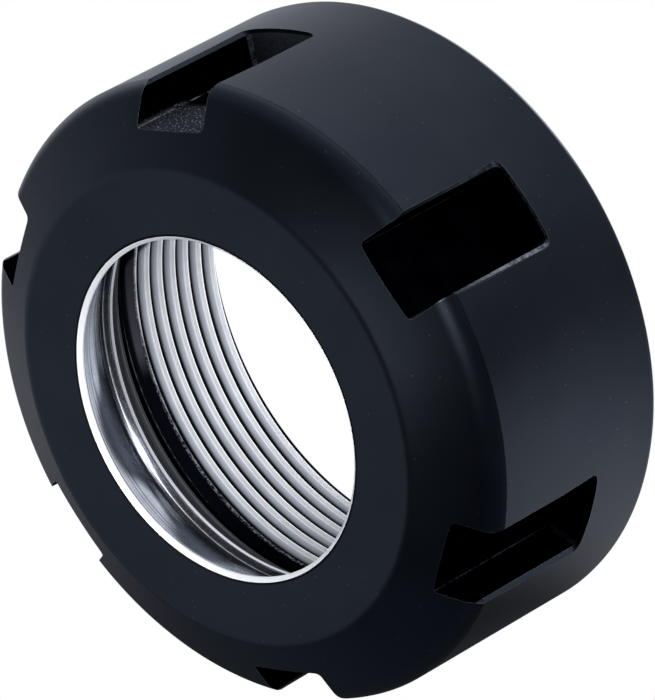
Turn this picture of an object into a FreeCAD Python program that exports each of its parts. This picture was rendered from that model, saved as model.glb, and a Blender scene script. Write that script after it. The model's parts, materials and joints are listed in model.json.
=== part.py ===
import FreeCAD, Part
import math
import os

from FreeCAD import Vector

# Collet nut for spring collets of 33 mm body, with wrench slots.
# The nut stands on its threaded end: Z is its axis and Z = 0 its back face.
# The first wrench slot opens along +X.

# Internal thread, right-hand, and the height of its lowest root on the +X side
thread_diameter = 40.0
thread_pitch = 1.5
thread_angle_degrees = 60.0
thread_root_height = 1.18

# Relief groove where the thread ends, deeper than the thread's root
groove_relief = 0.35
groove_length = 1.9
groove_back_slope_degrees = 60.0

# Wrench slots, and the wall between their floors and the relief groove
slot_wall = 1.35
slot_count = 6
slot_depth = 3.3
slot_width = 6.8
slot_length = 15.1
slot_floor_rounding = 0.4
slot_end_rounding = 0.6
slot_edge_chamfer = 0.3

# Outside of the nut
overall_length = 22.5
back_chamfer = 1.1

# Shoulder round the front face: a cone, then a rounding that meets the wall at an edge
shoulder_width = 5.9
shoulder_slope_degrees = 29.0
shoulder_rounding = 2.2
shoulder_end_slope_degrees = 78.5
front_edge_rounding = 1.2

# Mouth, and the seat for the collet's front cone
collet_diameter = 33.0
seat_half_angle_degrees = 30.0
seat_length = 5.11
mouth_land = 0.15
mouth_chamfer = 0.3

# Pocket for the collet's flange
pocket_clearance = 0.35
pocket_length = 0.35

# Extraction lip, bored off centre
lip_height = 0.4
lip_offset = 0.35
lip_length = 0.4
lip_back_slope_degrees = 60.0
lip_back_widening = 1.0

# Clearance bore behind the lip, wider than the pocket
clearance_step = 1.35
clearance_length = 2.26

# How far cutting bodies reach past the surfaces that they cut
overshoot = 1.0

# The thread's section: 5/8 of the sharp height, with a root flat of 1/8 of the pitch
thread_radius = thread_diameter / 2
profile_slope = math.tan(math.radians(thread_angle_degrees / 2))
sharp_height = thread_pitch / (2 * profile_slope)
thread_height = sharp_height * 5 / 8
crest_radius = thread_radius - thread_height
root_flat = thread_pitch / 8
thread_overcut = thread_height / 4

# Radii from the thread outwards
groove_radius = thread_radius + groove_relief
slot_floor_radius = groove_radius + slot_wall
outer_radius = slot_floor_radius + slot_depth
front_flat_radius = outer_radius - shoulder_width

# Radii from the collet seat
seat_slope = math.tan(math.radians(seat_half_angle_degrees))
seat_end_radius = collet_diameter / 2
mouth_radius = seat_end_radius - seat_length * seat_slope
pocket_radius = seat_end_radius + pocket_clearance
lip_radius = pocket_radius - lip_height
clearance_radius = pocket_radius + clearance_step

# Shoulder: what the rounding covers, and what is left for the cone
shoulder_slope = math.radians(shoulder_slope_degrees)
shoulder_end_slope = math.radians(shoulder_end_slope_degrees)
rounding_width = shoulder_rounding * (math.sin(shoulder_end_slope) - math.sin(shoulder_slope))
rounding_height = shoulder_rounding * (math.cos(shoulder_slope) - math.cos(shoulder_end_slope))
cone_width = shoulder_width - rounding_width
cone_height = cone_width * math.tan(shoulder_slope)

# Heights, from the front face back
cone_end = overall_length - cone_height
wall_top = cone_end - rounding_height
slot_bottom = overall_length - slot_length
chamfer_end = overall_length - mouth_chamfer
seat_start = chamfer_end - mouth_land
seat_end = seat_start - seat_length
pocket_start = seat_end - pocket_clearance
lip_start = pocket_start - pocket_length
lip_end = lip_start - lip_length
lip_back_slope = math.tan(math.radians(lip_back_slope_degrees))
clearance_start = lip_end - lip_back_widening / lip_back_slope
groove_start = clearance_start - clearance_length
groove_end = groove_start - groove_length
groove_back_slope = math.tan(math.radians(groove_back_slope_degrees))
thread_front = groove_end - (groove_radius - crest_radius) / groove_back_slope

ORIGIN = Vector(0, 0, 0)
UP = Vector(0, 0, 1)
TINY = 1e-4


def on_profile(radius, height):
    """Point of the turned section, in the XZ plane."""
    return Vector(radius, 0, height)


def rounding_middle():
    """Middle of the arc that ends the shoulder, in the XZ plane."""
    halfway = (shoulder_slope + shoulder_end_slope) / 2
    centre_radius = outer_radius - shoulder_rounding * math.sin(shoulder_end_slope)
    centre_height = wall_top - shoulder_rounding * math.cos(shoulder_end_slope)
    radius = centre_radius + shoulder_rounding * math.sin(halfway)
    return on_profile(radius, centre_height + shoulder_rounding * math.cos(halfway))


def turned(points):
    """Solid of revolution about Z of a closed section."""
    section = Part.makePolygon(points + [points[0]])
    return Part.Face(section).revolve(ORIGIN, UP, 360)


def edge_between(first, second):
    return Part.LineSegment(first, second).toShape()


def turned_outside():
    """Blank with the shoulder and the back chamfer, before it is bored."""
    back_centre = on_profile(0, 0)
    back_rim = on_profile(outer_radius - back_chamfer, 0)
    lower_wall = on_profile(outer_radius, back_chamfer)
    upper_wall = on_profile(outer_radius, wall_top)
    cone_rim = on_profile(front_flat_radius + cone_width, cone_end)
    flat_rim = on_profile(front_flat_radius, overall_length)
    front_centre = on_profile(0, overall_length)
    section = Part.Wire([
        edge_between(back_centre, back_rim),
        edge_between(back_rim, lower_wall),
        edge_between(lower_wall, upper_wall),
        Part.Arc(upper_wall, rounding_middle(), cone_rim).toShape(),
        edge_between(cone_rim, flat_rim),
        edge_between(flat_rim, front_centre),
        edge_between(front_centre, back_centre),
    ])
    blank = Part.Face(section).revolve(ORIGIN, UP, 360)
    return round_front_edge(blank)


def round_front_edge(blank):
    """Soften the edge between the front face and the shoulder."""
    ring = []
    for edge in blank.Edges:
        box = edge.BoundBox
        at_front = abs(box.ZMin - overall_length) < TINY
        if at_front and abs(box.XMax - front_flat_radius) < TINY:
            ring.append(edge)
    return blank.makeFillet(front_edge_rounding, ring)


def mouth_and_seat():
    """Bore from the front face down to the extraction lip."""
    flare = mouth_chamfer + overshoot
    return turned([
        on_profile(0, overall_length + overshoot),
        on_profile(mouth_radius + flare, overall_length + overshoot),
        on_profile(mouth_radius, chamfer_end),
        on_profile(mouth_radius, seat_start),
        on_profile(seat_end_radius, seat_end),
        on_profile(pocket_radius, pocket_start),
        on_profile(pocket_radius, lip_start),
        on_profile(0, lip_start),
    ])


def lip_opening():
    """Off-centre bore that leaves the lip, with the slope behind it."""
    opening = turned([
        on_profile(0, lip_start),
        on_profile(lip_radius, lip_start),
        on_profile(lip_radius, lip_end),
        on_profile(lip_radius + lip_back_widening, clearance_start),
        on_profile(0, clearance_start),
    ])
    opening.translate(Vector(lip_offset, 0, 0))
    return opening


def back_bore():
    """Clearance bore, relief groove, thread crest and countersink."""
    flare = thread_height + overshoot
    return turned([
        on_profile(0, clearance_start),
        on_profile(clearance_radius, clearance_start),
        on_profile(clearance_radius, groove_start),
        on_profile(groove_radius, groove_start),
        on_profile(groove_radius, groove_end),
        on_profile(crest_radius, thread_front),
        on_profile(crest_radius, thread_height),
        on_profile(crest_radius + flare, -overshoot),
        on_profile(0, -overshoot),
    ])


def thread_groove():
    """Helical groove that runs from behind the back face out into the relief groove."""
    inner_radius = crest_radius - thread_overcut
    outer_half = root_flat / 2
    inner_half = outer_half + (thread_radius - inner_radius) * profile_slope
    first_root = thread_root_height - 2 * thread_pitch
    last_root = (groove_start + groove_end) / 2
    corners = [
        on_profile(inner_radius, first_root + inner_half),
        on_profile(thread_radius, first_root + outer_half),
        on_profile(thread_radius, first_root - outer_half),
        on_profile(inner_radius, first_root - inner_half),
    ]
    helix = Part.makeHelix(thread_pitch, last_root - first_root, thread_radius)
    helix.translate(Vector(0, 0, first_root))
    sweep = Part.BRepOffsetAPI.MakePipeShell(Part.Wire(helix.Edges))
    sweep.setBiNormalMode(UP)
    sweep.add(Part.makePolygon(corners + [corners[0]]))
    sweep.build()
    sweep.makeSolid()
    return sweep.shape()


def wrench_slot():
    """Cutter for the slot that opens along +X, with rounded inner corners."""
    depth = outer_radius + overshoot - slot_floor_radius
    height = slot_length + overshoot
    floor_corner = Vector(slot_floor_radius, -slot_width / 2, slot_bottom)
    cutter = Part.makeBox(depth, slot_width, height, floor_corner)
    end_edges = []
    for edge in cutter.Edges:
        box = edge.BoundBox
        if box.XLength > TINY and box.ZMax < overall_length - TINY:
            end_edges.append(edge)
    cutter = cutter.makeFillet(slot_end_rounding, end_edges)
    floor_edges = []
    for edge in cutter.Edges:
        box = edge.BoundBox
        on_floor = box.XMax < slot_floor_radius + TINY
        if on_floor and box.ZMin < overall_length - TINY:
            floor_edges.append(edge)
    return cutter.makeFillet(slot_floor_rounding, floor_edges)


def slot_rims(nut):
    """Edges where the slots break through the cylindrical wall."""
    rims = []
    for edge in nut.Edges:
        middle = edge.valueAt((edge.FirstParameter + edge.LastParameter) / 2)
        on_wall = abs(math.hypot(middle.x, middle.y) - outer_radius) < TINY
        beside_slot = slot_bottom - TINY < middle.z < wall_top - TINY
        if on_wall and beside_slot:
            rims.append(edge)
    return rims


def make_nut():
    nut = turned_outside()
    slot = wrench_slot()
    for index in range(slot_count):
        cutter = slot.copy()
        cutter.rotate(ORIGIN, UP, index * 360 / slot_count)
        nut = nut.cut(cutter)
    nut = nut.makeChamfer(slot_edge_chamfer, slot_rims(nut))
    nut = nut.cut(mouth_and_seat())
    nut = nut.cut(lip_opening())
    nut = nut.cut(back_bore())
    return nut.cut(thread_groove())


nut = make_nut().Solids[0]
print("collet nut: valid", nut.isValid(), "volume", round(nut.Volume, 1), "mm3")
os.makedirs("parts", exist_ok=True)
nut.exportStep("parts/collet_nut.step")
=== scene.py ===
import bpy
import json
import math
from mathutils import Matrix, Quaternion, Vector

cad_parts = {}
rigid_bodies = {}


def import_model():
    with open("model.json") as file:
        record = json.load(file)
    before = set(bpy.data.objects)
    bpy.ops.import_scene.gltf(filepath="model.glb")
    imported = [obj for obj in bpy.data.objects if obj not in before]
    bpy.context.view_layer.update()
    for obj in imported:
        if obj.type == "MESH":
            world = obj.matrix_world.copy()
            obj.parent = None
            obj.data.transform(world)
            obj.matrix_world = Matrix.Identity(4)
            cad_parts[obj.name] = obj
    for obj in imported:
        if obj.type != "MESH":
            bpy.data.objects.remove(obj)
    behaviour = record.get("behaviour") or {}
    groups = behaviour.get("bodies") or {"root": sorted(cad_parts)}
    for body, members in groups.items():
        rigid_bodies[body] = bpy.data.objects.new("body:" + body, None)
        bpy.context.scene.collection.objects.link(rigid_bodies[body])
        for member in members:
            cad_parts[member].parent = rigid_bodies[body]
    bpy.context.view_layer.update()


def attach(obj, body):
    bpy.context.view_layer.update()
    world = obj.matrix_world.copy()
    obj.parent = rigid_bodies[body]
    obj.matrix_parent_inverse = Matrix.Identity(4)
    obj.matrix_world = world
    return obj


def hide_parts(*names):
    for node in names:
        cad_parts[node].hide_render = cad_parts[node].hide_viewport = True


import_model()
bpy.ops.object.select_all(action="DESELECT")


# The blank of the nut
# One bar of hardened steel, turned outside and bored through, so its outside, its bore and
# both end faces are one section spun round the axis. It is drawn here in millimetres,
# standing on its threaded end, and made metres once everything is cut.

turning_steps = 360

# Outside. The wall is spun in flats, a hair under the real radius to stay in the CAD's box.
length = 22.5
outer_radius = 25.0
wall_radius = outer_radius - 0.006
back_chamfer = 1.1
shoulder_width = 5.9
shoulder_slope = math.radians(29.0)
shoulder_end = math.radians(78.5)
shoulder_rounding = 2.2
front_rounding = 1.2

# Thread, and the relief groove where it ends
pitch = 1.5
thread_radius = 20.0
thread_height = pitch / (2 * math.tan(math.radians(30.0))) * 5 / 8
crest_radius = thread_radius - thread_height
lowest_root = -1.82
groove_radius = 20.35
groove_length = 1.9

# Bore, from the mouth back to the groove
mouth_radius = 13.55
mouth_chamfer = 0.3
mouth_land = 0.15
seat_end_radius = 16.5
seat_length = 5.11
pocket_clearance = 0.35
pocket_length = 0.35
lip_height = 0.4
lip_length = 0.4
lip_offset = 0.35
lip_back_widening = 1.0
clearance_radius = 18.2
clearance_length = 2.26

# Radii and heights that follow from those. The slopes behind the lip and the groove are steep.
steep = math.tan(math.radians(60.0))
flat_radius = outer_radius - shoulder_width
rounding_width = shoulder_rounding * (math.sin(shoulder_end) - math.sin(shoulder_slope))
rounding_height = shoulder_rounding * (math.cos(shoulder_slope) - math.cos(shoulder_end))
cone_height = (shoulder_width - rounding_width) * math.tan(shoulder_slope)
wall_top = length - cone_height - rounding_height
pocket_radius = seat_end_radius + pocket_clearance
lip_radius = pocket_radius - lip_height
land_start = length - mouth_chamfer
seat_start = land_start - mouth_land
seat_end = seat_start - seat_length
pocket_start = seat_end - pocket_clearance
lip_start = pocket_start - pocket_length
lip_end = lip_start - lip_length
clearance_start = lip_end - lip_back_widening / steep
groove_front = clearance_start - clearance_length
groove_back = groove_front - groove_length
slope_end_radius = lip_radius + lip_back_widening
thread_front = groove_back - (groove_radius - crest_radius) / steep


def arc(centre, radius, first, last, count):
    """Points round a centre, with angles counted from the nut's axis outwards."""
    points = []
    for step in range(count + 1):
        angle = first + (last - first) * step / count
        points.append((centre[0] + radius * math.sin(angle), centre[1] + radius * math.cos(angle)))
    return points


def softened(before, corner, after, size):
    """The corner of an outline, cut back to a small rounding of about that size."""
    before, corner, after = Vector(before), Vector(corner), Vector(after)
    first = corner + (before - corner).normalized() * size
    last = corner + (after - corner).normalized() * size
    points = []
    for t in (0.0, 0.5, 1.0):
        point = first * (1 - t) ** 2 + corner * 2 * t * (1 - t) + last * t ** 2
        points.append(tuple(point))
    return points


def draw(name, points):
    """A closed line, drawn by extruding a single point from place to place."""
    bpy.ops.object.select_all(action="DESELECT")
    bpy.ops.mesh.primitive_plane_add(size=1.0, location=(0, 0, 0))
    line = bpy.context.object
    line.name = line.data.name = name
    bpy.ops.object.mode_set(mode="EDIT")
    bpy.ops.mesh.select_mode(type="VERT")
    bpy.ops.mesh.merge(type="CENTER")
    bpy.ops.transform.translate(value=points[0])
    for here, there in zip(points, points[1:]):
        step = [b - a for a, b in zip(here, there)]
        bpy.ops.mesh.extrude_region_move(TRANSFORM_OT_translate={"value": step})
    bpy.ops.object.mode_set(mode="OBJECT")
    last = max(vertex.index for vertex in line.data.vertices)
    for vertex in line.data.vertices:
        vertex.select = vertex.index in (0, last)
    bpy.ops.object.mode_set(mode="EDIT")
    bpy.ops.mesh.edge_face_add()
    bpy.ops.object.mode_set(mode="OBJECT")
    return line


def between(first, last, share):
    """A point part of the way from the first to the last."""
    return tuple(a + (b - a) * share for a, b in zip(first, last))


rounding_centre = (
    wall_radius - shoulder_rounding * math.sin(shoulder_end),
    wall_top - shoulder_rounding * math.cos(shoulder_end),
)
shoulder = arc(rounding_centre, shoulder_rounding, shoulder_end, shoulder_slope, 8)
flat_end = flat_radius - front_rounding * math.tan(shoulder_slope / 2)
front_centre = (flat_end, length - front_rounding)
front_edge = arc(front_centre, front_rounding, shoulder_slope, 0, 5)

# Corners of the section with the size of their rounding, from the back face outwards and
# round to the thread. An arc has its points in place of a corner, and no rounding. A point
# near each end of the shoulder's cone, and one by the front edge, keep the cone and the face
# from being shaded into the roundings.
corners = [
    ((thread_radius, 0.0), 0.05),
    ((outer_radius - back_chamfer, 0.0), 0.12),
    ((wall_radius, back_chamfer), 0.28),
    ((wall_radius, wall_top), 0),
    (shoulder, None),
    (between(shoulder[-1], front_edge[0], 0.03), 0),
    (between(shoulder[-1], front_edge[0], 0.97), 0),
    (front_edge, None),
    ((flat_end - 0.15, length), 0),
    ((mouth_radius + mouth_chamfer, length), 0.03),
    ((mouth_radius, land_start), 0.03),
    ((mouth_radius, seat_start), 0.03),
    ((seat_end_radius, seat_end), 0.05),
    ((pocket_radius, pocket_start), 0.04),
    ((pocket_radius, lip_start), 0),
    ((lip_radius, lip_start), 0.09),
    ((lip_radius, lip_end), 0.09),
    ((slope_end_radius, clearance_start), 0),
    ((clearance_radius, clearance_start), 0),
    ((clearance_radius, groove_front), 0.1),
    ((groove_radius, groove_front), 0.05),
    ((groove_radius, groove_back), 0.05),
    ((crest_radius, thread_front), 0.06),
    ((crest_radius, thread_height), 0.05),
]
plain = []
for corner, rounding in corners:
    plain += corner if rounding is None else [corner]
section = []
for corner, rounding in corners:
    if rounding is None:
        section += corner
    elif rounding == 0:
        section.append(corner)
    else:
        at = plain.index(corner)
        section += softened(plain[at - 1], corner, plain[(at + 1) % len(plain)], rounding)
kept = []
for point in section:
    if not kept or math.dist(kept[-1], point) > 1e-4:
        kept.append(point)
nut = draw("nut", [(radius, 0, height) for radius, height in kept])

bpy.ops.object.mode_set(mode="EDIT")
bpy.ops.mesh.select_all(action="SELECT")
bpy.ops.mesh.spin(steps=turning_steps, angle=math.tau, center=(0, 0, 0), axis=(0, 0, 1))
bpy.ops.mesh.select_all(action="SELECT")
bpy.ops.mesh.remove_doubles(threshold=1e-4)
bpy.ops.mesh.normals_make_consistent(inside=False)
bpy.ops.object.mode_set(mode="OBJECT")

# The lip is bored off centre, toward +X
bpy.ops.object.mode_set(mode="EDIT")
bpy.ops.mesh.select_mode(type="VERT")
bpy.ops.mesh.select_all(action="DESELECT")
bpy.ops.object.mode_set(mode="OBJECT")
for vertex in nut.data.vertices:
    radius, height = math.hypot(vertex.co.x, vertex.co.y), vertex.co.z
    on_lip = radius < pocket_radius - 0.05 and lip_end - 0.1 < height < lip_start + 0.05
    at_slope_end = radius < slope_end_radius + 0.05 and abs(height - clearance_start) < 0.1
    vertex.select = on_lip or at_slope_end
bpy.ops.object.mode_set(mode="EDIT")
bpy.ops.transform.translate(value=(lip_offset, 0, 0))
bpy.ops.object.mode_set(mode="OBJECT")


class Tone:
    """A value, colour or vector that changes over a surface, with sums written on it."""

    def __init__(self, tree, socket=None):
        self.tree = tree
        self.socket = socket

    def node(self, kind, settings=None, inputs=None, output=0):
        made = self.tree.nodes.new(kind)
        for name, setting in (settings or {}).items():
            setattr(made, name, setting)
        for name, value in (inputs or {}).items():
            if isinstance(value, Tone):
                self.tree.links.new(value.socket, made.inputs[name])
            else:
                made.inputs[name].default_value = value
        return Tone(self.tree, made.outputs[output])

    def sum(self, operation, first, second):
        return self.node("ShaderNodeMath", {"operation": operation}, {0: first, 1: second})

    def __add__(self, other):
        return self.sum("ADD", self, other)

    def __radd__(self, other):
        return self.sum("ADD", other, self)

    def __sub__(self, other):
        return self.sum("SUBTRACT", self, other)

    def __rsub__(self, other):
        return self.sum("SUBTRACT", other, self)

    def __mul__(self, other):
        return self.sum("MULTIPLY", self, other)

    def __rmul__(self, other):
        return self.sum("MULTIPLY", other, self)

    def __truediv__(self, other):
        return self.sum("DIVIDE", self, other)

    def rise(self, low, high):
        """0 below one value, 1 above the other, and smooth between them."""
        settings = {"interpolation_type": "SMOOTHSTEP"}
        inputs = {"Value": self, "From Min": low, "From Max": high}
        return self.node("ShaderNodeMapRange", settings, inputs)

    def blend(self, first, second):
        """A colour that goes from the first to the second as this value goes from 0 to 1."""
        settings = {"data_type": "RGBA"}
        return self.node("ShaderNodeMix", settings, {0: self, 6: first, 7: second}, 2)

    def speckle(self, scale, detail=3.0, roughness=0.5):
        """Noise over a place on the nut; the scale is in features to the millimetre."""
        inputs = {"Vector": self, "Scale": scale, "Detail": detail, "Roughness": roughness}
        return self.node("ShaderNodeTexNoise", None, inputs)

    def bump(self, strength, depth):
        """A surface that rises and falls with this value, by so many millimetres."""
        inputs = {"Strength": strength, "Distance": depth / 1000, "Height": self}
        return self.node("ShaderNodeBump", None, inputs)


def finish_of(name):
    """A new material with its surface, the place on the nut in millimetres, its height and
    its radius."""
    material = bpy.data.materials.new(name)
    material.use_nodes = True
    tree = material.node_tree
    maker = Tone(tree)
    metres = maker.node("ShaderNodeTexCoord", output="Object")
    place = maker.node("ShaderNodeVectorMath", {"operation": "SCALE"}, {0: metres, 3: 1000.0})
    height = place.node("ShaderNodeSeparateXYZ", None, {0: place}, "Z")
    inputs = {0: place, 1: (1.0, 1.0, 0.0)}
    flat = place.node("ShaderNodeVectorMath", {"operation": "MULTIPLY"}, inputs)
    radius = place.node("ShaderNodeVectorMath", {"operation": "LENGTH"}, {0: flat}, "Value")
    return material, tree.nodes["Principled BSDF"], place, height, radius


def lay(surface, **tones):
    """Put colours and values on the surface's sockets of those names."""
    for name, tone in tones.items():
        socket = surface.inputs[name.replace("_", " ")]
        if isinstance(tone, Tone):
            tone.tree.links.new(tone.socket, socket)
        else:
            socket.default_value = tone


def along(place, direction):
    """How far a place lies in a direction."""
    inputs = {0: place, 1: direction}
    return place.node("ShaderNodeVectorMath", {"operation": "DOT_PRODUCT"}, inputs, "Value")


def edge_of(place, size):
    """How sharply the metal turns within that distance in millimetres, 0 on open faces."""
    rounded = place.node("ShaderNodeBevel", {"samples": 6}, {"Radius": size / 1000})
    true = place.node("ShaderNodeNewGeometry", output="Normal")
    return 1.0 - along(rounded, true)


def fine_lines(across, scale, detail=3.0):
    """Lines that a turning tool leaves, closer together the larger the scale. On the seat cone
    they also draw dark streaks that are a painted reflection.
    """
    inputs = {"W": across, "Scale": scale, "Detail": detail}
    return across.node("ShaderNodeTexNoise", {"noise_dimensions": "1D"}, inputs)


def part_of(place, letter):
    """A place's X, Y or Z."""
    return place.node("ShaderNodeSeparateXYZ", None, {0: place}, letter)


def round_the_axis(place):
    """The direction round the nut's axis, in radians from +X towards +Y."""
    inputs = {0: part_of(place, "Y"), 1: part_of(place, "X")}
    return place.node("ShaderNodeMath", {"operation": "ARCTAN2"}, inputs)


def near(place, middle, inner, outer):
    """1 within the inner distance of a point, 0 beyond the outer one."""
    inputs = {0: place, 1: middle}
    away = place.node("ShaderNodeVectorMath", {"operation": "DISTANCE"}, inputs, "Value")
    return 1.0 - away.rise(inner, outer)


# Black oxide: a thin satin skin on the turned and hardened outside, blue-black, with a fine
# grain, faint turning lines, pale specks and edges rubbed a little lighter. The rubbing is
# strongest on the bevel beside the first slot and on the back rim, and there it is also a
# painted highlight. A painted shade line runs round the mouth, and a dark line along the top
# of the wall.
bare_edge = (0.50, 0.51, 0.54, 1)
black_oxide, surface, place, height, radius = finish_of("black_oxide")
cloud = place.speckle(0.16, 3.0)
grain = place.speckle(7.0, 5.0, 0.7)
lines = fine_lines(height + radius * 1.17, 9.0)
dots = place.node("ShaderNodeTexVoronoi", None, {"Vector": place, "Scale": 0.8}, "Distance")
dot = 1.0 - dots.rise(0.04, 0.08)
# Painted shade: a near-black ring on the front face round the mouth.
lip_shade = (1.0 - radius.rise(13.98, 14.12)) * height.rise(22.40, 22.46)
worn = (edge_of(place, 0.07) * (0.3 + grain * 1.2)).rise(0.06, 0.24) * (1.0 - lip_shade)
inside_wall = 1.0 - radius.rise(24.93, 24.985)
bevel = inside_wall * height.rise(6.0, 7.0) * (1.0 - height.rise(18.2, 18.34))
# Painted highlight: the bevel beside the first slot is painted lighter near one place, as rubbed
# steel.
rubbed_highlight = bevel * near(place, (24.8, -3.7, 8.0), 3.5, 11.5) * (0.35 + grain).rise(0.55, 0.95)
rubbed_highlight = rubbed_highlight * (place.speckle(2.6, 4.0, 0.7).rise(0.36, 0.60) * 0.8 + 0.2)
# Painted highlight: the back rim is painted lighter near one place, and from here on it is laid in
# with the edge wear.
rim_highlight = (1.0 - height.rise(1.12, 1.34)) * near(place, (22.5, 10.8, 1.1), 6.0, 14.0)
worn = (worn + rim_highlight * 0.9).rise(0.0, 1.0)
seam = height.rise(18.22, 18.32) * (1.0 - height.rise(18.36, 18.50))
colour = cloud.rise(0.3, 0.7).blend((0.025, 0.030, 0.040, 1), (0.030, 0.0355, 0.046, 1))
colour = (dot * 0.5).blend(colour, (0.11, 0.12, 0.15, 1))
colour = (seam * grain.rise(0.4, 0.6) * 0.8).blend(colour, (0.006, 0.007, 0.010, 1))
colour = rubbed_highlight.blend(colour, (0.50, 0.53, 0.60, 1))
colour = (worn * 0.9).blend(colour, bare_edge)
colour = lip_shade.blend(colour, (0.002, 0.003, 0.004, 1))
rough = 0.35 + grain * 0.10 + cloud * 0.06 - worn * 0.1 + rubbed_highlight * 0.25
bump = (grain + lines * 0.12 + dot * 1.2).bump(0.4, 0.012)
lay(surface, Base_Color=colour, Roughness=rough, Metallic=1.0, Normal=bump)
lay(surface, Specular_Tint=(0.86, 0.86, 0.87, 1))

# Bright turned steel: the mouth, its land, the seat cone and the lip, finished last and left
# bare. The mouth is painted white and nearly non-metal, a painted highlight. The cone has fine
# rings from the tool, a light and a dark ring near the mouth, dark streaks that are a painted
# reflection, dark smears, dark patches placed as a painted reflection, a painted glint, and
# painted shade that grows towards the pocket and fills it.
bright_steel, surface, place, height, radius = finish_of("bright_steel")
across = height + radius * 0.31
rings = fine_lines(across, 14.0, 4.0)
wide_rings = fine_lines(across, 2.2, 2.0)
# Painted reflection: dark streaks across the cone.
reflected_streaks = fine_lines(across, 3.6, 2.0)
haze = place.speckle(0.4, 3.0)
inputs = {"X": part_of(place, "X") * 0.10, "Y": part_of(place, "Y") * 0.10, "Z": height * 0.6}
drawn_out = place.node("ShaderNodeCombineXYZ", None, inputs)
smear_shade_and_reflection = drawn_out.speckle(1.3, 2.0).rise(0.48, 0.68)
# Painted highlight: the mouth is painted near-white and almost non-metal.
mouth_highlight = height.rise(22.02, 22.06)
dark_ring = height.rise(21.86, 21.92) * (1.0 - mouth_highlight)
# Painted shade, darker towards the pocket, and dark patches placed as a painted reflection.
shade_near_pocket = 1.0 - height.rise(17.2, 20.2)
dark_reflection_patches = near(place, (-15.0, 3.4, 17.8), 2.5, 6.5) + near(place, (-13.2, -7.4, 19.2), 1.0, 5.5)
# Painted glint: a small bright patch on the cone.
glint = near(place, (-11.6, -10.4, 18.2), 0.4, 1.8) * rings.rise(0.35, 0.6)
# Painted shade in the pocket behind the seat.
pocket_shade = 1.0 - height.rise(16.84, 16.94)
smear_shade_and_reflection = (smear_shade_and_reflection * 0.4 + shade_near_pocket * 0.35 + dark_reflection_patches + pocket_shade * 0.7).rise(0.15, 0.95) * (1.0 - mouth_highlight)
light_ring = height.rise(21.66, 21.72) * (1.0 - height.rise(21.80, 21.86))
colour = haze.rise(0.35, 0.75).blend((0.97, 0.98, 1.00, 1), (0.76, 0.80, 0.87, 1))
colour = (wide_rings.rise(0.35, 0.75) * 0.4).blend(colour, (0.92, 0.93, 0.95, 1))
colour = (rings.rise(0.5, 0.8) * 0.6).blend(colour, (0.32, 0.35, 0.42, 1))
streak = reflected_streaks.rise(0.53, 0.61) * (1.0 - mouth_highlight)
colour = (streak * 0.75).blend(colour, (0.06, 0.065, 0.08, 1))
colour = (smear_shade_and_reflection * 0.95).blend(colour, (0.012, 0.014, 0.022, 1))
lip = 1.0 - height.rise(16.26, 16.34)
bright = (light_ring * 0.7 + glint + lip * 0.9).rise(0.0, 1.0)
colour = bright.blend(colour, (0.95, 0.95, 0.97, 1))
colour = (dark_ring * 0.85).blend(colour, (0.03, 0.03, 0.04, 1))
colour = mouth_highlight.blend(colour, (0.97, 0.97, 0.98, 1))
rough = 0.17 + haze * 0.10 + rings * 0.08 + mouth_highlight * 0.1
bump = (rings + haze * 0.1).bump(0.25, 0.01)
bare = 1.0 - mouth_highlight * 0.9
lay(surface, Base_Color=colour, Roughness=rough, Metallic=bare, Normal=bump)
lay(surface, Specular_Tint=(0.66, 0.69, 0.76, 1))

# Blackened bore: the clearance behind the lip and the relief groove keep the black skin.
# The groove is painted darkest as painted shade, with its +Y side painted greyer as painted
# light, and its edges show as broken light lines.
bore_oxide, surface, place, height, radius = finish_of("bore_oxide")
grain = place.speckle(5.0, 4.0, 0.65)
chips = place.speckle(2.6, 3.0, 0.6)
rings = fine_lines(height + radius * 0.31, 6.0)
in_groove = radius.rise(18.3, 18.7)
# Painted shade and light: black for the shaded groove and grey for its +Y side, also used on the
# thread's runout.
shaded_black, lit_grey = (0.0015, 0.0020, 0.0040, 1), (0.045, 0.048, 0.058, 1)
worn = (edge_of(place, 0.10) * (chips * 2.0 - 0.4)).rise(0.06, 0.22)
groove_shade = part_of(place, "Y").rise(6.5, 9.0).blend(shaded_black, lit_grey)
colour = in_groove.blend((0.018, 0.0195, 0.024, 1), groove_shade)
streak = rings.rise(0.52, 0.70) * (1.0 - in_groove) * 0.8
colour = streak.blend(colour, (0.13, 0.14, 0.16, 1))
colour = (worn * 0.9).blend(colour, bare_edge)
rough = 0.40 + grain * 0.2
bump = (rings + grain * 0.6).bump(0.4, 0.01)
bare = (0.3 + worn * 0.6 + in_groove * 0.7).rise(0.0, 1.0)
lay(surface, Base_Color=colour, Roughness=rough, Metallic=bare, Normal=bump)

# Thread finish: bare cut steel, grey on the flanks with fine lines along them. The crests,
# where the tool left them, are painted lighter, partly a painted highlight, with a painted
# white highlight line along each crest's edge. The flanks are painted darker towards the root
# as painted shade, and the roots are painted black as painted shadow. The first turn is torn
# and dull where it runs out into the groove, painted black there as painted shade and grey on
# its +Y side as painted light, with lighter chips on its crest.
thread_steel, surface, place, height, radius = finish_of("thread_steel")
turn = round_the_axis(place)
climb = (height - lowest_root) / pitch - turn / math.tau
phase = climb.node("ShaderNodeMath", {"operation": "FRACT"}, {0: climb})
haze = place.speckle(0.6, 3.0)
grain = place.speckle(5.0, 3.0, 0.6)
lines = fine_lines(phase, 22.0)
# Painted shadow: the roots are painted black behind each crest.
root = 1.0 - phase.rise(0.10, 0.20) + phase.rise(0.77, 0.87)
# Painted highlight: a white line along each crest's edge.
line = phase.rise(0.36, 0.38) * (1.0 - phase.rise(0.43, 0.46))
# Partly a painted highlight: the crest flat is painted lighter.
crest_highlight = phase.rise(0.36, 0.39) * (1.0 - phase.rise(0.62, 0.76))
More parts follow.
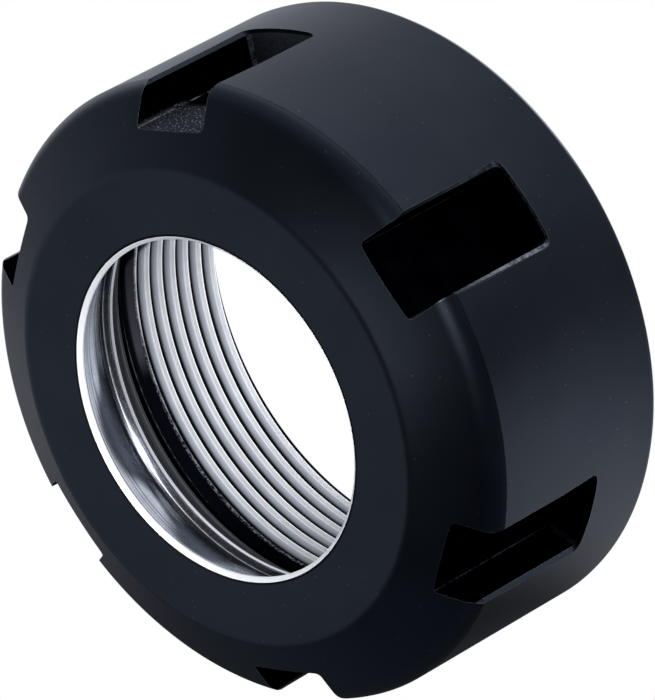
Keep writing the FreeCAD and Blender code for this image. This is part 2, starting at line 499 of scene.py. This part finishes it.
# Painted shade: the thread's runout into the groove is painted black, and grey on its +Y side as
# painted light.
runout_shade = (height + haze * 0.5 - 0.25).rise(9.75, 10.15)
colour = haze.rise(0.3, 0.7).blend((0.50, 0.515, 0.55, 1), (0.39, 0.405, 0.45, 1))
# Painted shade: the flanks are darker towards the root.
colour = (phase.rise(0.60, 0.80) * 0.8).blend(colour, (0.12, 0.13, 0.16, 1))
colour = (crest_highlight * 0.35).blend(colour, (0.90, 0.91, 0.93, 1))
colour = (lines.rise(0.48, 0.62) * 0.6).blend(colour, (0.22, 0.23, 0.27, 1))
colour = line.blend(colour, (0.99, 0.99, 0.99, 1))
runout_shade_tone = part_of(place, "Y").rise(6.5, 9.0).blend(shaded_black, lit_grey)
chipped = phase.rise(0.36, 0.39) * (1.0 - phase.rise(0.50, 0.62)) * grain.rise(0.45, 0.62)
runout_shade_tone = (chipped * 0.8).blend(runout_shade_tone, (0.40, 0.41, 0.45, 1))
colour = runout_shade.blend(colour, runout_shade_tone)
colour = root.blend(colour, (0.003, 0.0035, 0.005, 1))
rough = 0.32 + haze * 0.14 + root * 0.3 + runout_shade * 0.15
bump = (grain * 0.4 + lines * 0.8).bump(0.2, 0.01)
bare = (0.30 + line * 0.2 + root * 0.7 + runout_shade * 0.9).rise(0.0, 1.0)
lay(surface, Base_Color=colour, Roughness=rough, Metallic=bare, Normal=bump)

for material in (black_oxide, bright_steel, bore_oxide, thread_steel):
    nut.data.materials.append(material)


def give_finish(piece, slot, belongs):
    """Put the finish in that slot on the faces for which the test holds."""
    bpy.ops.object.mode_set(mode="EDIT")
    bpy.ops.mesh.select_mode(type="FACE")
    bpy.ops.mesh.select_all(action="DESELECT")
    bpy.ops.object.mode_set(mode="OBJECT")
    for face in piece.data.polygons:
        face.select = belongs(face)
    bpy.ops.object.mode_set(mode="EDIT")
    piece.active_material_index = slot
    bpy.ops.object.material_slot_assign()
    bpy.ops.object.mode_set(mode="OBJECT")


def radius_of(face):
    return math.hypot(face.center.x, face.center.y)


# The bore's faces, told apart by the height and radius of their middle
mouth_limit = lip_end - 0.04
thread_limit = thread_front + 0.01
bore_limit = groove_radius + 0.01


def in_mouth(face):
    on_front_face = face.normal.z > 0.99 and face.center.z > length - 0.02
    in_reach = radius_of(face) < pocket_radius + 0.15 and face.center.z > mouth_limit
    return in_reach and not on_front_face


def in_clearance(face):
    in_reach = thread_limit < face.center.z < lip_end + 0.06
    return radius_of(face) < bore_limit and in_reach and not in_mouth(face)


def on_thread_wall(face):
    on_back_face = face.normal.z <= -0.99
    in_reach = radius_of(face) < bore_limit and face.center.z <= thread_limit
    return in_reach and not on_back_face


for slot, belongs in ((1, in_mouth), (2, in_clearance), (3, on_thread_wall)):
    give_finish(nut, slot, belongs)


# The wrench slots
# Six slots are milled into the blank from the front before hardening. Each has a flat floor
# with a small radius along its sides, a straight end wall and a bevel where it breaks the wall.

slot_count = 6
slot_half_width = 3.4
slot_end = 7.4
slot_floor = 21.7
end_rounding = 0.6
floor_rounding = 0.4
bevel_start = 24.66
bevel_top = 18.35
corner_steps = 7
end_steps = 8
floor_steps = 6

# The slot at 60 degrees from +X towards +Y is the top one in the picture
top_slot_outwards = (0.5, 0.866, 0.0)
top_slot_middle = (11.7, 20.2, 13.0)

# Milled slot: deep black, with faint grey clouding. The top slot's end wall and the front of
# its floor are coarse, with pale crumbs, and are painted grey in that slot alone as painted light.
milled_slot, surface, place, height, radius = finish_of("milled_slot")
grit = place.speckle(6.0, 5.0, 0.7)
crumbs = place.node("ShaderNodeTexVoronoi", None, {"Vector": place, "Scale": 4.0}, "Distance")
crumb = 1.0 - crumbs.rise(0.12, 0.34)
clouding = place.speckle(0.5, 2.0).rise(0.42, 0.62)
by_top_slot = near(place, top_slot_middle, 8.0, 12.0)
depth = along(place, top_slot_outwards)
end_wall = (1.0 - height.rise(7.42, 7.6)) * by_top_slot
front_floor = height.rise(15.0, 16.5) * (1.0 - depth.rise(21.8, 22.2)) * by_top_slot
# Painted light: the top slot's end wall and front floor are painted grey, over real grit.
coarse_and_lit = end_wall + front_floor * 0.30 + clouding * 0.01
fleck = crumb * (end_wall * 0.5 + front_floor)
worn = (edge_of(place, 0.07) * (0.3 + grit * 1.2)).rise(0.05, 0.22)
colour = (coarse_and_lit * grit).blend((0.0004, 0.0006, 0.0022, 1), (0.34, 0.36, 0.42, 1))
colour = (fleck * 0.9).blend(colour, (0.42, 0.44, 0.50, 1))
colour = (worn * 0.9).blend(colour, bare_edge)
rough = 0.60 + grit * 0.2
bump = (grit * 1.2 + crumb * 0.8).bump(0.6, 0.03)
lay(surface, Base_Color=colour, Roughness=rough, Metallic=1.0, Normal=bump)
lay(surface, Specular_Tint=(0.1, 0.1, 0.1, 1))

# Inner corners of a slot: a broken, lighter line there, partly the cutter's corner and partly
# a painted highlight, clearest in the top slot and at the end walls.
slot_corner, surface, place, height, radius = finish_of("slot_corner")
grit = place.speckle(6.0, 5.0, 0.7)
break_up = place.speckle(1.1, 3.0, 0.6)
by_top_slot = near(place, top_slot_middle, 8.0, 12.0)
# Partly a painted highlight: the corner line is lighter, most in the top slot.
broken = (break_up * 0.7 + grit * 0.5 - 0.10).rise(0.38, 0.58) * (by_top_slot * 0.8 + 0.2)
line_tone = height.rise(8.2, 8.6).blend((0.70, 0.72, 0.78, 1), (0.15, 0.16, 0.19, 1))
colour = broken.blend((0.0010, 0.0014, 0.0030, 1), line_tone)
lay(surface, Base_Color=colour, Roughness=0.4 + grit * 0.2, Metallic=1.0)
lay(surface, Specular_Tint=(0.1, 0.1, 0.1, 1))


def slot_outline(offset, flare, depth_at):
    """The slot seen from outside, with its sides moved out by the offset and a flare that
    narrows towards the front. The last value says how far out a point at Y lies."""
    middle = slot_half_width - end_rounding
    low = slot_end + end_rounding
    corner = end_rounding + offset
    half = slot_half_width + offset
    side = [(half + 0.35 * flare, length + 1.5), (half + 0.55 * flare, bevel_top)]
    for step in range(corner_steps + 1):
        angle = math.pi / 2 * step / corner_steps
        sideways = (corner + flare) * math.cos(angle)
        side.append((middle + sideways, low - corner * math.sin(angle)))
    across = []
    for step in range(1, end_steps):
        across.append((middle - 2 * middle * step / end_steps, low - corner))
    outline = side + across + [(-y, z) for y, z in reversed(side)]
    return [(depth_at(y), y, z) for y, z in outline]


# The mill is a skin over outlines, first up the rounding of the floor, all at one depth, and
# then two on round walls: one where the bevel starts, and one past the nut's wall.
outlines = []
for step in range(floor_steps + 1):
    angle = math.pi / 2 * step / floor_steps
    depth = slot_floor + floor_rounding * (1 - math.cos(angle))
    inset = floor_rounding * (math.sin(angle) - 1)
    outlines.append(slot_outline(inset, 0.0, lambda y, depth=depth: depth))
for past, flare in ((0.0, 0.0), (1.0, 1.15)):
    reach = bevel_start + past
    outlines.append(slot_outline(0.0, flare, lambda y, reach=reach: math.sqrt(reach ** 2 - y * y)))

drawn = [draw("slot_ring", outline) for outline in outlines]
for ring in drawn:
    ring.select_set(True)
bpy.context.view_layer.objects.active = drawn[0]
bpy.ops.object.join()
slot_mill = bpy.context.object
slot_mill.name = "slot_mill"
bpy.ops.object.mode_set(mode="EDIT")
bpy.ops.mesh.select_mode(type="EDGE")
bpy.ops.mesh.select_all(action="SELECT")
bpy.ops.mesh.bridge_edge_loops()


def close_ends(piece, at_first_end):
    """Cap both open ends of a tube, the one where the test holds first, and turn its faces
    outwards."""
    for first in (True, False):
        bpy.ops.mesh.select_mode(type="EDGE")
        bpy.ops.mesh.select_all(action="DESELECT")
        bpy.ops.mesh.select_non_manifold(extend=False)
        bpy.ops.object.mode_set(mode="OBJECT")
        mesh = piece.data
        for edge in mesh.edges:
            start, end = (mesh.vertices[index].co for index in edge.vertices)
            edge.select = edge.select and (at_first_end(start, end) or not first)
        bpy.ops.object.mode_set(mode="EDIT")
        bpy.ops.mesh.edge_face_add()
    bpy.ops.mesh.select_all(action="SELECT")
    bpy.ops.mesh.normals_make_consistent(inside=False)
    bpy.ops.object.mode_set(mode="OBJECT")


close_ends(slot_mill, lambda start, end: max(start.x, end.x) < slot_floor + 0.001)
for finish in (milled_slot, black_oxide, slot_corner):
    slot_mill.data.materials.append(finish)


def on_bevel(face):
    return radius_of(face) > bevel_start + 0.1


def in_corner(face):
    """One row of narrow faces along each side of the floor, and one down each end corner."""
    side = abs(face.center.y) - slot_half_width
    low = face.center.z - slot_end
    depth = face.center.x - slot_floor
    beside_floor = 0.06 < depth < 0.11 and side > -0.5 and low > 0.6 and face.center.z < length
    down_corner = depth > 0.3 and -0.30 < side < -0.05 and 0.05 < low < 0.32
    return beside_floor or down_corner


give_finish(slot_mill, 1, on_bevel)
give_finish(slot_mill, 2, in_corner)

for turn in range(1, slot_count):
    bpy.ops.object.select_all(action="DESELECT")
    slot_mill.select_set(True)
    bpy.context.view_layer.objects.active = slot_mill
    bpy.ops.object.duplicate()
    angle = turn * math.tau / slot_count
    bpy.ops.transform.rotate(value=angle, orient_axis="Z", center_override=(0, 0, 0))
for cutter in bpy.context.scene.objects:
    cutter.select_set(cutter.name.startswith("slot_mill"))
bpy.context.view_layer.objects.active = slot_mill
bpy.ops.object.join()


def cut(piece, cutter, name, crossing=False):
    """Cut a piece with a cutter, which leaves its own finish, and put the cutter away."""
    bpy.ops.object.select_all(action="DESELECT")
    piece.select_set(True)
    bpy.context.view_layer.objects.active = piece
    step = piece.modifiers.new(name, "BOOLEAN")
    step.operation = "DIFFERENCE"
    step.solver = "EXACT"
    step.use_self = crossing
    step.material_mode = "TRANSFER"
    step.object = cutter
    bpy.ops.object.modifier_apply(modifier=name)
    bpy.data.objects.remove(cutter)


cut(nut, slot_mill, "mill_slots", crossing=True)


# The thread
# A right-hand fine thread is cut in the bore with a single-point tool: flanks at 60 degrees,
# a narrow flat crest left from the bore, and a root flat of an eighth of the pitch.

root_half = pitch / 16
highest_root = 12.05
tool_start = crest_radius - 0.2

flank = (thread_radius - tool_start) * math.tan(math.radians(30.0))
thread_tool = draw("thread_tool", [
    (tool_start, 0, lowest_root + root_half + flank),
    (thread_radius, 0, lowest_root + root_half),
    (thread_radius, 0, lowest_root - root_half),
    (tool_start, 0, lowest_root - root_half - flank),
])
turns = (highest_root - lowest_root) / pitch
run = thread_tool.modifiers.new("run", "SCREW")
run.axis = "Z"
run.angle = turns * math.tau
run.screw_offset = turns * pitch
run.steps = run.render_steps = round(turns * turning_steps)
bpy.ops.object.modifier_apply(modifier="run")
bpy.ops.object.mode_set(mode="EDIT")
close_ends(thread_tool, lambda start, end: start.z + end.z < 0)
thread_tool.data.materials.append(thread_steel)
cut(nut, thread_tool, "cut_thread")

# Millimetres become metres, and all but the real edges are shaded smooth
nut.scale = (0.001, 0.001, 0.001)
bpy.ops.object.transform_apply(location=False, rotation=False, scale=True)
bpy.ops.object.shade_smooth_by_angle(angle=math.radians(10.5))

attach(nut, "root")
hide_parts("collet_nut")


# The studio
# The nut stands on a pale floor that runs out of view, under a soft tent of light: bright
# low down and behind, dark overhead, so the black steel shows its shape.

bpy.ops.object.select_all(action="DESELECT")
bpy.ops.mesh.primitive_plane_add(size=8.0, location=(0, 0, 0))
floor = bpy.context.object
floor.name = "studio_floor"
floor_paint = bpy.data.materials.new("studio_floor")
floor_paint.use_nodes = True
maker = Tone(floor_paint.node_tree)
rays = maker.node("ShaderNodeLightPath")
camera_ray, glossy_ray, passing_ray = (
    Tone(maker.tree, rays.socket.node.outputs[name])
    for name in ("Is Camera Ray", "Is Glossy Ray", "Is Transmission Ray")
)

# The camera sees an even white floor. For glossy rays alone the floor glows unevenly, a
# painted reflection that the shiny steel mirrors, as the photograph's reflections show: dark
# on one side of the nut, bright on the other, with a patch beside the lower right slot, and
# dim far out. Places on the floor are in metres.
place = maker.node("ShaderNodeTexCoord", output="Object")
toward_light = along(place, (0.1045, 0.9945, 0.0))
pool = 0.10 + toward_light.rise(-0.030, 0.030) + toward_light.rise(0.035, 0.070) * 0.7
pool = pool + near(place, (0.020, -0.033, 0.0), 0.006, 0.026) * 1.2
far_glow = 0.08 + toward_light.rise(-0.05, 0.15) * 0.25
pool = far_glow + (pool - far_glow) * near(place, (0.0, 0.0, 0.0), 0.09, 0.16)
strength = camera_ray + passing_ray + glossy_ray * pool
matte = maker.node("ShaderNodeBsdfDiffuse", None, {"Color": (0.9, 0.9, 0.9, 1)})
cool_glow = glossy_ray.blend((1, 1, 1, 1), (0.95, 0.98, 1.06, 1))
glow = maker.node("ShaderNodeEmission", None, {"Color": cool_glow, "Strength": strength})
seen = camera_ray + passing_ray + glossy_ray
mixed = maker.node("ShaderNodeMixShader", None, {0: seen, 1: matte, 2: glow})
output = floor_paint.node_tree.nodes["Material Output"]
maker.tree.links.new(mixed.socket, output.inputs["Surface"])
floor.data.materials.append(floor_paint)

# The tent: dark overhead, lighter low down, and lightest towards +Y
world = bpy.data.worlds.new("studio")
bpy.context.scene.world = world
world.use_nodes = True
maker = Tone(world.node_tree)
direction = maker.node("ShaderNodeTexCoord", output="Generated")
up = maker.node("ShaderNodeSeparateXYZ", None, {0: direction}, "Z")
lit_side = along(direction, (0.10, 0.995, 0.0))
low_tone = lit_side.rise(-0.10, 0.90).blend((0.15, 0.175, 0.225, 1), (0.46, 0.49, 0.54, 1))
sky = up.rise(0.15, 1.0).blend(low_tone, (0.035, 0.04, 0.05, 1))
background = world.node_tree.nodes["Background"]
maker.tree.links.new(sky.socket, background.inputs["Color"])


def out_from(target, azimuth, elevation, distance):
    """A place at a distance from the target, with the angles in degrees."""
    a, e = math.radians(azimuth), math.radians(elevation)
    out = Vector((math.cos(a) * math.cos(e), math.sin(a) * math.cos(e), math.sin(e)))
    return target + out * distance


def hang(name, data, place, target):
    """Put a lamp or a camera at a place and turn it to the target."""
    holder = bpy.data.objects.new(name, data)
    bpy.context.collection.objects.link(holder)
    holder.location = place
    holder.rotation_mode = "QUATERNION"
    holder.rotation_quaternion = (target - place).to_track_quat("-Z", "Y")
    return holder


# A round softbox behind and above the nut. Its level is how bright its face looks.
softbox_level = 0.60
softbox = bpy.data.lights.new("back_light", "AREA")
softbox.shape = "DISK"
softbox.size = 1.1
softbox.energy = softbox_level * math.pi * math.pi * softbox.size ** 2 / 4
softbox.color = (0.93, 0.98, 1.06)
foot = Vector((0, 0, 0))
hang("back_light", softbox, out_from(foot, 160.0, 36.0, 1.2), foot)

# A narrow spot into the mouth, so that the thread can be seen. Its soft size is small, or
# little of its light would stay in so narrow a cone.
bore_light = bpy.data.lights.new("bore_light", "SPOT")
bore_light.color = (0.98, 0.99, 1.01)
bore_light.energy = 22.5
bore_light.spot_size = math.radians(3.3)
bore_light.spot_blend = 0.3
bore_light.shadow_soft_size = 0.008
mouth_middle = Vector((0, 0, length / 1000))
hang("bore_light", bore_light, out_from(mouth_middle, -5.0, 47.47, 0.6), mouth_middle)


# The camera
# A long lens, turned on its side as the photograph has it: the nut's front looks down left.

camera_place = Vector((0.4882706, -0.0513193, 0.4520377))
aim_point = Vector((-0.0041820, 0.0003629, 0.0057769))
roll = math.radians(-118.5778)

camera = bpy.data.cameras.new("camera")
camera.lens = 448.45
eye = hang("camera", camera, camera_place, aim_point)
eye.rotation_quaternion = eye.rotation_quaternion @ Quaternion((0, 0, 1), roll)
bpy.context.scene.camera = eye
bpy.context.scene.view_settings.view_transform = "Standard"
